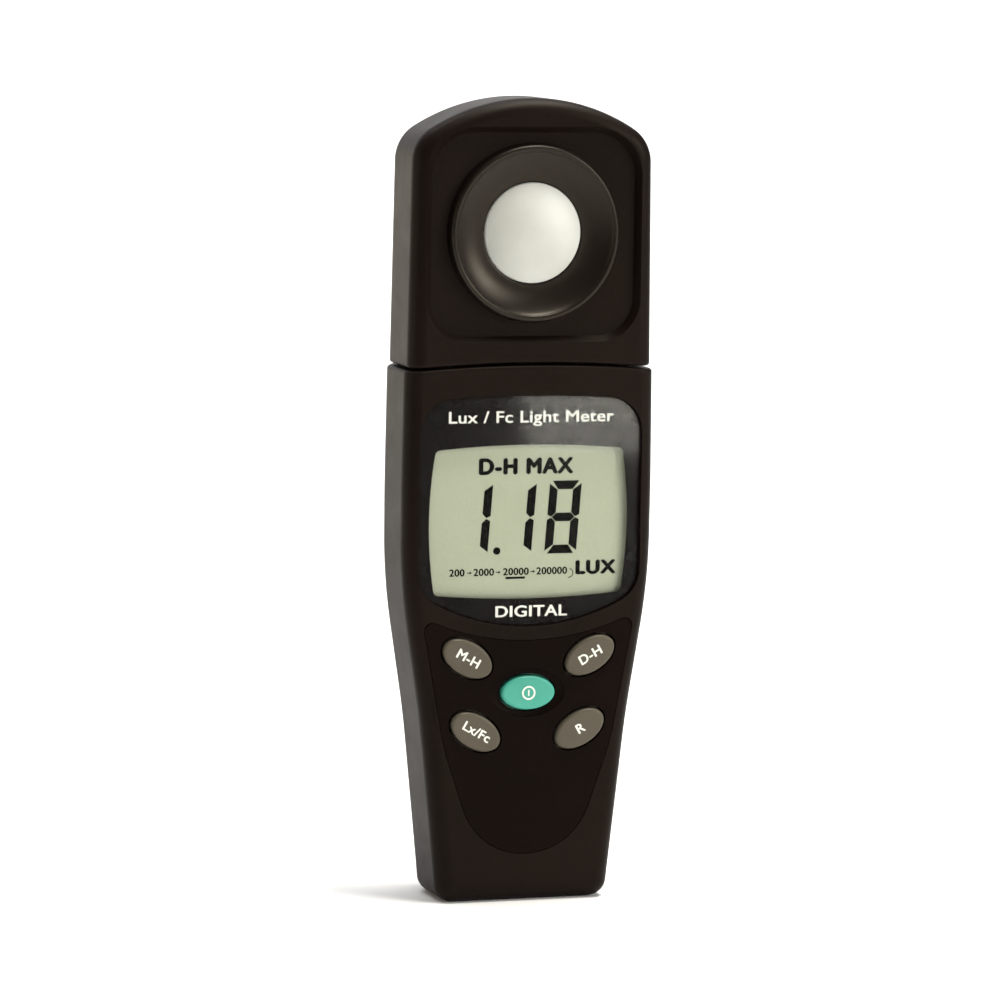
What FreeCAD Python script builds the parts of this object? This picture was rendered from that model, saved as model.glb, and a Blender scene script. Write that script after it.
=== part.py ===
import FreeCAD, Part
import math
import os
import re
import Sketcher

# Handheld light meter with a swivelling sensor head.
# Frame: origin at the middle of the flat bottom end, +Z up along the body to the sensor head,
# the display and keys face -Y, and the head turns about Z through the origin. Millimetres.

V = FreeCAD.Vector

# ---------------------------------------------------------------- driving dimensions (mm, degrees)
DIMENSIONS = {
    # outside of the housings
    "overall_length": 200.0,
    "front_face": -14.5,
    "back_face": 14.5,
    "side_break": 4.2,            # where the straight sides start to lean inward
    "back_taper": 30.0,           # lean of the back part of the sides
    "parting": 6.0,               # plane between front and rear shells
    "side_round": 6.0,
    "back_round": 5.0,
    "front_round": 4.0,
    "bottom_round": 4.5,
    "reach": 60.0,                # half size of the slabs used for cutting
    "seam_half_width": 31.9,
    "shoulder_half_width": 31.0,
    "display_half_width": 32.4,
    "grip_top_half_width": 27.0,
    "bottom_half_width": 22.1,
    "display_high": 104.0,
    "display_low": 80.0,          # where the sides begin to lean in
    "grip_top": 46.0,             # where the lower grip begins
    "shoulder_line_round": 400.0,
    "waist_round": 150.0,
    "knee_round": 250.0,
    "head_arch_radius": 50.0,
    "shoulder_round": 10.0,
    "wall": 2.5,
    "face_wall": 3.0,
    "back_wall": 2.3,
    # crowned swivel seam, a surface of revolution about the swivel axis
    "crown_radius": 362.0,
    "crown_top": 134.5,
    "seam_gap": 0.6,
    "seam_edge_round": 0.8,
    "head_overrun": 24.5,         # the head's outline starts this far below the seam before trimming
    "body_ceiling": 130.5,
    "head_floor": 138.2,
    # display window and display
    "window_half_width": 28.9,
    "window_top": 126.8,
    "window_bottom": 69.2,
    "window_top_arch": 330.0,
    "window_bottom_arc": 52.0,
    "window_round": 9.0,
    "window_recess": 2.0,
    "window_thickness": 1.5,
    "window_inset": 0.15,
    "window_gap": 0.2,
    "window_bevel": 0.3,
    "view_half_width": 25.9,
    "view_top": 114.4,
    "view_bottom": 76.0,
    "view_side_arc": 109.0,
    "view_top_arc": 249.0,
    "view_round": 1.5,
    "lcd_half_width": 27.2,
    "lcd_bottom": 74.5,
    "lcd_top": 116.5,
    "lcd_front": -11.3,
    "lcd_thickness": 2.8,
    "lcd_fit": 0.15,
    "lcd_frame_rim": 1.0,
    "board_front": -7.2,
    "board_thickness": 1.6,
    "board_top": 118.6,
    "board_half_width": 27.6,
    "board_bottom": 36.0,
    "board_bottom_half_width": 21.5,
    "board_waist_half_width": 24.2,
    "board_shoulder": 74.0,
    # parts on the back of the board
    "solder_gap": 0.02,
    "chip_left": -22.0,
    "chip_right": -8.0,
    "chip_bottom": 82.0,
    "chip_top": 96.0,
    "chip_thickness": 1.6,
    "component_x": 9.0,
    "component_z": 78.0,
    "component_width": 3.0,
    "component_length": 3.6,
    "component_pitch_x": 5.2,
    "component_pitch_z": 6.5,
    "capacitor_x": -19.0,
    "capacitor_z": 106.0,
    "capacitor_radius": 2.4,
    "capacitor_length": 4.5,
    "capacitor_pitch": 7.0,
    "pot_x": 9.5,
    "pot_z": 109.0,
    "pot_size": 4.5,
    "pot_pitch": 5.6,
    "pot_thickness": 2.4,
    "pot_slot_length": 2.3,
    "pot_slot_width": 0.7,
    "socket_half_width": 4.0,
    "socket_bottom": 102.5,
    "socket_top": 109.5,
    "socket_back": 1.9,
    # shield-shaped key panel
    "fascia_depth": 1.2,
    "fascia_gap": 0.15,
    "fascia_top_half_width": 28.6,
    "fascia_top": 76.0,
    "fascia_arc_radius": 64.7,
    "fascia_arc_low": 65.8,
    "fascia_knee_half_width": 21.9,
    "fascia_knee": 39.5,
    "fascia_foot_half_width": 12.5,
    "fascia_foot": 12.0,
    "fascia_foot_round": 17.0,
    "fascia_knee_round": 50.0,
    "fascia_corner_round": 2.0,
    # keys
    "key_half_length": 6.95,
    "key_half_height": 4.2,
    "key_clearance": 0.6,
    "key_proud": 1.0,
    "key_travel": 1.0,
    "key_flange": 1.0,
    "key_flange_thickness": 0.9,
    "key_flange_gap": 0.2,
    "key_stem_radius": 2.2,
    "key_stem_gap": 0.65,
    "power_key_proud": 0.7,
    "key_edge_round": 0.7,
    "upper_key_x": 16.0,
    "upper_key_z": 61.6,
    "lower_key_x": 13.6,
    "lower_key_z": 43.2,
    "power_key_z": 52.6,
    "key_tilt": 30.0,
    "dish_half_length": 9.6,
    "dish_half_height": 6.1,
    "dish_depth": 0.95,
    "sheet_thickness": 1.0,
    "sheet_half_width": 19.2,
    "sheet_bottom": 38.2,
    "sheet_top": 66.6,
    "dome_radius": 3.4,
    "dome_height": 0.4,
    # battery and its compartment
    "battery_half_width": 13.1,
    "battery_bottom": 5.4,
    "battery_height": 48.0,
    "battery_front": -4.9,
    "battery_depth": 16.8,
    "battery_edge_round": 1.2,
    "stud_radius": 3.1,
    "stud_offset": 6.4,
    "stud_height": 2.5,
    "snap_half_width": 12.4,
    "snap_front": -2.0,
    "snap_back": 9.0,
    "snap_thickness": 3.0,
    "lead_x": 4.0,
    "lead_rise": 9.0,
    "door_half_width": 14.4,
    "door_bottom": 8.0,
    "door_top": 62.0,
    "door_gap": 0.3,
    "door_thickness": 2.2,
    "hinge_pin_radius": 0.7,
    "hinge_pin_length": 1.0,
    "groove_half_width": 8.0,
    "groove_depth": 0.5,
    "groove_width": 0.9,
    "groove_pitch": 2.0,
    # screws and bosses
    "case_screw_radius": 1.3,
    "case_head_radius": 2.1,
    "case_head_height": 1.7,
    "board_head_height": 0.9,
    "screw_seat": 11.0,
    "upper_screw_x": 20.5,
    "upper_screw_z": 123.6,
    "lower_screw_x": 17.3,
    "lower_screw_z": 31.0,
    "boss_radius": 3.0,
    "board_screw_radius": 0.9,
    "board_head_radius": 1.9,
    "board_screw_x": 24.4,
    "board_screw_z": 69.6,
    "board_low_screw_x": 21.8,
    "board_low_screw_z": 52.0,
    # swivel
    "spigot_radius": 7.0,
    "spigot_bore": 4.5,
    "running_gap": 0.06,
    "spigot_bottom": 124.2,
    "spigot_flange_radius": 10.0,
    "spigot_flange": 2.0,
    "bush_radius": 9.5,
    "bush_flange_radius": 11.5,
    "bush_flange": 1.9,
    "washer_thickness": 0.8,
    "ring_thickness": 1.0,
    "ring_groove_radius": 6.3,
    "ring_radius": 9.0,
    # sensor head
    "sensor_z": 166.8,
    "recess_depth": 2.0,
    "recess_half_width": 28.0,
    "recess_top": 193.2,
    "recess_bottom": 139.7,
    "recess_round": 11.0,
    "recess_slope": 35.0,
    "head_inner_front": -10.3,
    "bezel_base_radius": 22.2,
    "bezel_crest_radius": 20.9,
    "bezel_crest": -15.0,
    "bezel_barrel_radius": 18.5,
    "bezel_back": -8.6,
    "bowl_radius": 12.8,
    "bowl_depth": -12.0,
    "dome_view_radius": 12.6,
    "dome_flange_radius": 14.6,
    "dome_flange": 1.2,
    "dome_apex": -15.8,
    "dome_rise": 3.6,
    "dome_wall": 1.2,
    "holder_radius": 15.5,
    "holder_back": -4.6,
    "filter_radius": 5.5,
    "filter_thickness": 2.0,
    "diode_half_width": 4.0,
    "diode_thickness": 1.6,
    "sensor_board_half": 17.0,
    "sensor_board_thickness": 1.2,
    "sensor_screw_offset": 14.85,
    "sensor_board_front": -4.4,
    "head_screw_x": 21.0,
    "head_screw_low": 144.5,
    "head_screw_high": 184.5,
    "cable_radius": 1.2,
    "lead_radius": 0.7,
}

doc = FreeCAD.newDocument("light_meter")
sheet = doc.addObject("Spreadsheet::Sheet", "Dims")
for row, (alias, number) in enumerate(DIMENSIONS.items(), start=1):
    sheet.set(f"A{row}", alias)
    sheet.set(f"B{row}", str(number))
    sheet.setAlias(f"B{row}", alias)
doc.recompute()

WORD = re.compile(r"\b[a-z]+(?:_[a-z]+)*\b")


def formula(text):
    """Turn plain dimension names into references to the sheet's cells."""
    return WORD.sub(lambda m: "Dims." + m.group() if m.group() in DIMENSIONS else m.group(), str(text))


def calc(text):
    """Value of a formula, read through the sheet."""
    return float(sheet.evalExpression(formula(text)))


def bind(obj, **settings):
    """Bind properties to formulas; a double underscore stands for a dot."""
    for name, text in settings.items():
        obj.setExpression(name.replace("__", "."), formula(text))
    return obj


def place(obj, x="0", y="0", z="0", turn=None):
    """Put an object at a place given by formulas."""
    if turn is not None:
        obj.Placement = FreeCAD.Placement(V(calc(x), calc(y), calc(z)), turn)
    return bind(obj, Placement__Base__x=x, Placement__Base__y=y, Placement__Base__z=z)


# ---------------------------------------------------------------- primitives and booleans
ACROSS = ("-reach", "reach")


def block(name, x, y, z):
    """Box between (low, high) pairs of formulas along each axis."""
    box = doc.addObject("Part::Box", name)
    bind(box, Length=f"({x[1]}) - ({x[0]})", Width=f"({y[1]}) - ({y[0]})", Height=f"({z[1]}) - ({z[0]})")
    return place(box, x[0], y[0], z[0])


TURNS = {
    "x": FreeCAD.Rotation(V(0, 1, 0), 90),
    "y": FreeCAD.Rotation(V(1, 0, 0), -90),
    "z": FreeCAD.Rotation(),
}


def rod(name, axis, radius, x="0", y="0", z="0", length="1"):
    """Cylinder that starts at (x, y, z) and runs along +X, +Y or +Z."""
    cylinder = doc.addObject("Part::Cylinder", name)
    bind(cylinder, Radius=radius, Height=length)
    return place(cylinder, x, y, z, TURNS[axis])


def oval(name, half_length, half_height, x, z, tilt, y_low, y_high):
    """Upright elliptical plate, its long axis tilted in the face plane."""
    turn = FreeCAD.Rotation(V(0, 1, 0), -tilt).multiply(FreeCAD.Rotation(V(1, 0, 0), 90))
    rim = doc.addObject("Part::Ellipse", name + "_rim")
    bind(rim, MajorRadius=half_length, MinorRadius=half_height)
    place(rim, x, y_low, z, turn)
    plate = doc.addObject("Part::Extrusion", name)
    plate.Base = rim
    plate.DirMode = "Custom"
    plate.Dir = V(0, 1, 0)
    plate.Solid = True
    return bind(plate, LengthFwd=f"({y_high}) - ({y_low})")


def join(name, *shapes):
    group = doc.addObject("Part::MultiFuse", name)
    group.Shapes = list(shapes)
    return group


def overlap(name, *shapes):
    group = doc.addObject("Part::MultiCommon", name)
    group.Shapes = list(shapes)
    return group


def cut(name, base, *tools):
    tool = tools[0] if len(tools) == 1 else join(name + "_tools", *tools)
    result = doc.addObject("Part::Cut", name)
    result.Base = base
    result.Tool = tool
    return result


def rounded(name, base, radius, wanted):
    """Fillet the edges of base that the test picks."""
    doc.recompute()
    edges = [i for i, edge in enumerate(base.Shape.Edges, start=1) if wanted(edge)]
    result = doc.addObject("Part::Fillet", name)
    result.Base = base
    result.Edges = [(i, calc(radius), calc(radius)) for i in edges]
    return result


def bevelled(name, base, size, wanted):
    """Chamfer the edges of base that the test picks."""
    doc.recompute()
    edges = [i for i, edge in enumerate(base.Shape.Edges, start=1) if wanted(edge)]
    result = doc.addObject("Part::Chamfer", name)
    result.Base = base
    result.Edges = [(i, calc(size), calc(size)) for i in edges]
    return result


def runs_along_y(edge):
    box = edge.BoundBox
    return box.YLength > 0.1 and box.XLength < 1e-4 and box.ZLength < 1e-4


def in_plane_y(level):
    """Test for edges that lie in the plane y = level."""
    y = calc(level)
    return lambda edge: abs(edge.BoundBox.YMin - y) < 1e-3 and abs(edge.BoundBox.YMax - y) < 1e-3


# ---------------------------------------------------------------- sketched bodies
def new_body(name):
    return doc.addObject("PartDesign::Body", name)


def sketch_on(body, role, offset="0"):
    plane = [feature for feature in body.Origin.OriginFeatures if feature.Role == role][0]
    sketch = body.newObject("Sketcher::SketchObject", body.Name + "_sketch")
    sketch.AttachmentSupport = [(plane, "")]
    sketch.MapMode = "FlatFace"
    bind(sketch, AttachmentOffset__Base__z=offset)
    return sketch


def draw_polygon(sketch, corners):
    """Closed polygon whose corners are pairs of formulas, each bound to the sheet."""
    points = [(calc(x), calc(y)) for x, y in corners]
    count = len(points)
    for i, point in enumerate(points):
        following = points[(i + 1) % count]
        sketch.addGeometry(Part.LineSegment(V(*point, 0), V(*following, 0)), False)
    for i, (x, y) in enumerate(corners):
        sketch.addConstraint(Sketcher.Constraint("Coincident", i, 2, (i + 1) % count, 1))
        across = sketch.addConstraint(Sketcher.Constraint("DistanceX", -1, 1, i, 1, points[i][0]))
        up = sketch.addConstraint(Sketcher.Constraint("DistanceY", -1, 1, i, 1, points[i][1]))
        sketch.setExpression(f"Constraints[{across}]", formula(x))
        sketch.setExpression(f"Constraints[{up}]", formula(y))


def draw_rounded(sketch, corners):
    """Closed outline of straight runs and tangent arcs; a corner is (x, y, radius)."""
    points = [V(calc(x), calc(y), 0) for x, y, _ in corners]
    radii = [calc(radius) for _, _, radius in corners]
    count = len(points)
    pieces = []
    ends = []
    for i, corner in enumerate(points):
        back = (points[i - 1] - corner).normalize()
        ahead = (points[(i + 1) % count] - corner).normalize()
        half = back.getAngle(ahead) / 2
        if radii[i] == 0:
            ends.append((corner, corner, None))
            continue
        reach = radii[i] / math.tan(half)
        centre = corner + (back + ahead).normalize() * (radii[i] / math.sin(half))
        middle = centre + (corner - centre).normalize() * radii[i]
        ends.append((corner + back * reach, corner + ahead * reach, middle))
    for i, (enter, leave, middle) in enumerate(ends):
        if middle is not None:
            pieces.append(Part.Arc(enter, middle, leave))
        following = ends[(i + 1) % count][0]
        if (following - leave).Length > 1e-6:
            pieces.append(Part.LineSegment(leave, following))
    for piece in pieces:
        sketch.addGeometry(piece, False)


def pad(body, sketch, length, taper="0", name=None):
    """Pad towards +Y from a sketch on the XZ plane (towards +Z from the XY plane)."""
    feature = body.newObject("PartDesign::Pad", name or body.Name + "_pad")
    feature.Profile = sketch
    feature.Reversed = sketch.AttachmentSupport[0][0].Role == "XZ_Plane"
    return bind(feature, Length=length, TaperAngle=taper)


def plate(name, corners, y_low, y_high):
    """Polygonal plate lying in the face plane, between two depths."""
    body = new_body(name)
    sketch = sketch_on(body, "XZ_Plane", f"-({y_low})")
    draw_polygon(sketch, corners)
    pad(body, sketch, f"({y_high}) - ({y_low})")
    return body


def turned_z(name, corners):
    """Solid of revolution about the swivel axis; corners are (radius, z)."""
    body = new_body(name)
    sketch = sketch_on(body, "XZ_Plane")
    draw_polygon(sketch, corners)
    turn = body.newObject("PartDesign::Revolution", name + "_turn")
    turn.Profile = sketch
    turn.ReferenceAxis = (sketch, ["V_Axis"])
    turn.Angle = 360
    return body


def turned_y(name, corners, z):
    """Solid of revolution about an axis along Y at height z; corners are (radius, y)."""
    body = new_body(name)
    sketch = sketch_on(body, "XY_Plane")
    draw_polygon(sketch, corners)
    turn = body.newObject("PartDesign::Revolution", name + "_turn")
    turn.Profile = sketch
    turn.ReferenceAxis = (sketch, ["V_Axis"])
    turn.Angle = 360
    return place(body, "0", "0", z)


# ---------------------------------------------------------------- housings
def mirrored(right):
    """Close a right-hand chain of corners with its mirror image."""
    left = [(f"-({x})", z, radius) for x, z, radius in reversed(right)]
    return right + left


def grip_outline(inset, low, high):
    """Waisted outline of the grip, from a height below its end to one above its seam."""
    slope = "(grip_top_half_width - bottom_half_width) / grip_top"
    return mirrored([
        (f"bottom_half_width + ({low}) * {slope} - ({inset})", low, "0"),
        (f"grip_top_half_width - ({inset})", "grip_top", "knee_round"),
        (f"display_half_width - ({inset})", "display_low", "waist_round"),
        (f"display_half_width + 0.15 - ({inset})", "display_high", "shoulder_line_round"),
        (f"seam_half_width - ({inset})", high, "0"),
    ])


def housing_block(name, corners, front, back):
    """Solid with straight sides up to side_break and leaning sides behind it."""
    body = new_body(name)
    straight = sketch_on(body, "XZ_Plane", f"-({front})")
    draw_rounded(straight, corners)
    pad(body, straight, f"side_break - ({front})", name=name + "_straight")
    leaning = sketch_on(body, "XZ_Plane", "-side_break")
    draw_rounded(leaning, corners)
    pad(body, leaning, f"({back}) - side_break", "-back_taper", name=name + "_leaning")
    return body


def ball(name, lift):
    """Ball whose top is the crowned seam, raised by lift."""
    sphere = doc.addObject("Part::Sphere", name)
    bind(sphere, Radius="crown_radius")
    return place(sphere, "0", "0", f"crown_top + ({lift}) - crown_radius")


def side_rounds(name, base):
    """Soften the long edges: side to lean, lean to back, side to face."""
    steps = [("side_break", "side_round"), ("back_face", "back_round"), ("front_face", "front_round")]
    for level, radius in steps:
        on_level = in_plane_y(level)
        base = rounded(f"{name}_{level}", base, radius,
                       lambda edge: on_level(edge) and edge.BoundBox.ZLength > 1)
    return base


def grip_outside():
    """Outer solid of the grip: waisted sides, crowned top, rounded bottom end."""
    raw = housing_block("grip_raw", grip_outline("0", "-30", "170"), "front_face", "back_face")
    slab = block("grip_slab", ACROSS, ACROSS, ("0", "150"))
    sided = side_rounds("grip", overlap("grip_length", raw, slab))
    above = cut("grip_crown", block("grip_crown_slab", ACROSS, ACROSS,
                                    ("crown_top - 12", "overall_length")), ball("grip_seam_ball", "0"))
    trimmed = cut("grip_trimmed", sided, above)
    ended = rounded("grip_ended", trimmed, "bottom_round", lambda edge: edge.BoundBox.ZMax < 1e-3)
    return rounded("grip_solid", ended, "seam_edge_round",
                   lambda edge: edge.BoundBox.ZMin > calc("body_ceiling"))


def head_outside(name, inset, front, back):
    """Arched block of the head: parallel sides, round shoulders and an arched top."""
    side = calc(f"seam_half_width - ({inset})")
    top_side = calc(f"shoulder_half_width - ({inset})")
    arch = calc(f"head_arch_radius - ({inset})")
    corner = calc(f"shoulder_round - ({inset})")
    middle = calc("overall_length - head_arch_radius")
    low = calc("crown_top - head_overrun")
    centre = V(top_side - corner, middle + math.sqrt((arch - corner) ** 2 - (top_side - corner) ** 2), 0)
    meet = V(0, middle, 0) + (centre - V(0, middle, 0)).normalize() * arch
    foot = V(side, low, 0)
    span = (centre - foot).Length
    lean = math.atan2(centre.y - low, centre.x - side) - math.asin(corner / span)
    shoulder = foot + V(math.cos(lean), math.sin(lean), 0) * math.sqrt(span ** 2 - corner ** 2)
    half_way = centre + ((shoulder - centre) + (meet - centre)).normalize() * corner

    def flip(point):
        return V(-point.x, point.y, 0)

    def draw(sketch):
        chain = [
            Part.LineSegment(flip(foot), foot),
            Part.LineSegment(foot, shoulder),
            Part.Arc(shoulder, half_way, meet),
            Part.Arc(meet, V(0, middle + arch, 0), flip(meet)),
            Part.Arc(flip(meet), flip(half_way), flip(shoulder)),
            Part.LineSegment(flip(shoulder), flip(foot)),
        ]
        for piece in chain:
            sketch.addGeometry(piece, False)

    body = new_body(name)
    straight = sketch_on(body, "XZ_Plane", f"-({front})")
    draw(straight)
    pad(body, straight, f"side_break - ({front})", name=name + "_straight")
    leaning = sketch_on(body, "XZ_Plane", "-side_break")
    draw(leaning)
    pad(body, leaning, f"({back}) - side_break", "-back_taper", name=name + "_leaning")
    return body


def head_solid_outside():
    raw = head_outside("head_raw", "0", "front_face", "back_face")
    slab = block("head_slab", ACROSS, ACROSS, ("crown_top - 12", "overall_length + 5"))
    sided = side_rounds("head", overlap("head_length", raw, slab))
    trimmed = cut("head_trimmed", sided, ball("head_seam_ball", "seam_gap"))
    return rounded("head_solid", trimmed, "seam_edge_round",
                   lambda edge: edge.BoundBox.ZMax < calc("head_floor"))


# ---------------------------------------------------------------- shared outlines
def window_shape(name, inset, y_low, y_high):
    """Arched-top window with a deep round lower edge."""
    body = block(name + "_box", (f"-window_half_width + ({inset})", f"window_half_width - ({inset})"),
                 (y_low, y_high), ("window_bottom - 5", "window_top + 5"))
    low_arc = rod(name + "_low", "y", f"window_bottom_arc - ({inset})", "0", y_low,
                  "window_bottom + window_bottom_arc", f"({y_high}) - ({y_low})")
    top_arc = rod(name + "_top", "y", f"window_top_arch - ({inset})", "0", y_low,
                  "window_top - window_top_arch", f"({y_high}) - ({y_low})")
    shape = overlap(name + "_sharp", body, low_arc, top_arc)
    return rounded(name, shape, f"window_round - ({inset})", runs_along_y)


def view_opening(name, grow, y_low, y_high):
    """Barrel-shaped opening of the display: four slightly bowed sides."""
    depth = f"({y_high}) - ({y_low})"
    middle = "(view_top + view_bottom) / 2"
    sides = [rod(f"{name}_{side}", "y", f"view_side_arc + ({grow})",
                 f"{sign}(view_half_width - view_side_arc)", y_low, middle, depth)
             for side, sign in (("right", ""), ("left", "-"))]
    top = rod(name + "_top", "y", f"view_top_arc + ({grow})", "0", y_low, "view_top - view_top_arc", depth)
    low = rod(name + "_low", "y", f"view_top_arc + ({grow})", "0", y_low, "view_bottom + view_top_arc", depth)
    return rounded(name, overlap(name + "_sharp", *sides, top, low), "view_round", runs_along_y)


def fascia_shape(name, inset, y_low, y_high):
    """Shield outline whose top edge follows the window's round lower edge."""
    body = new_body(name + "_shield")
    sketch = sketch_on(body, "XZ_Plane", f"-({y_low})")
    draw_rounded(sketch, mirrored([
        (f"fascia_foot_half_width - ({inset})", f"fascia_foot + ({inset})", "fascia_foot_round"),
        (f"fascia_knee_half_width - ({inset})", "fascia_knee", "fascia_knee_round"),
        (f"fascia_top_half_width - ({inset})", "fascia_top", "0"),
    ]))
    pad(body, sketch, f"({y_high}) - ({y_low})")
    scoop = rod(name + "_scoop", "y", f"fascia_arc_radius + ({inset})", "0", f"({y_low}) - 1",
                "fascia_arc_low + fascia_arc_radius", f"({y_high}) - ({y_low}) + 2")
    sharp = cut(name + "_sharp", body, scoop)
    return rounded(name, sharp, "fascia_corner_round",
                   lambda edge: runs_along_y(edge) and edge.BoundBox.ZMin > calc("fascia_arc_low"))


KEYS = {
    "max_key": ("-upper_key_x", "upper_key_z", "-key_tilt"),
    "hold_key": ("upper_key_x", "upper_key_z", "key_tilt"),
    "unit_key": ("-lower_key_x", "lower_key_z", "-key_tilt"),
    "range_key": ("lower_key_x", "lower_key_z", "key_tilt"),
    "power_key": ("0", "power_key_z", "0"),
}
CASE_SCREWS = [(f"{sign}{x}", z) for sign in ("", "-")
               for x, z in (("upper_screw_x", "upper_screw_z"), ("lower_screw_x", "lower_screw_z"))]
BOARD_SCREWS = [(f"{sign}{x}", z) for sign in ("", "-")
                for x, z in (("board_screw_x", "board_screw_z"), ("board_low_screw_x", "board_low_screw_z"))]
HEAD_SCREWS = [(f"{sign}head_screw_x", z) for sign in ("", "-")
               for z in ("head_screw_low", "head_screw_high")]
COLUMN_END = "back_face - back_wall + 0.3"
SENSOR_SCREWS = [(f"{sign}sensor_screw_offset", f"sensor_z {way} sensor_screw_offset")
                 for sign in ("", "-") for way in "+-"]


def rods_at(name, places, radius, y_low, y_high):
    """One rod along Y at each (x, z) place."""
    return [rod(f"{name}_{i}", "y", radius, x, y_low, z, f"({y_high}) - ({y_low})")
            for i, (x, z) in enumerate(places)]


def screw_set(name, places, seat, head_radius, head, radius, tip):
    """Pan-head screws driven from the back, all in one node."""
    heads = rods_at(name + "_head", places, head_radius, seat, f"({seat}) + ({head})")
    shanks = rods_at(name + "_shank", places, radius, tip, f"({seat}) + 0.01")
    slots = [block(f"{name}_slot_{i}_{way}",
                   (f"({x}) - {half[0]}", f"({x}) + {half[0]}"),
                   (f"({seat}) + ({head}) * 0.5", f"({seat}) + ({head}) + 1"),
                   (f"({z}) - {half[1]}", f"({z}) + {half[1]}"))
             for i, (x, z) in enumerate(places)
             for way, half in (("across", (f"({head_radius}) * 0.6", f"({head_radius}) * 0.14")),
                               ("upright", (f"({head_radius}) * 0.14", f"({head_radius}) * 0.6")))]
    return cut(name, join(name + "_blank", *heads, *shanks), *slots)


# ---------------------------------------------------------------- grip: shells and panels
def shell_half(name, solid, keep_front, cavity, openings, bosses, bores):
    """One moulded half: outer solid cut at the parting plane, hollowed, then given its bosses."""
    if keep_front:
        rest = block(name + "_rest", ACROSS, ("parting", "reach"), ("-10", "overall_length + 10"))
    else:
        rest = block(name + "_rest", ACROSS, ("-reach", "parting"), ("-10", "overall_length + 10"))
    skin = cut(name + "_skin", solid, rest, cavity)
    return cut(name, join(name + "_bossed", skin, *bosses), *openings, *bores)


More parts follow.
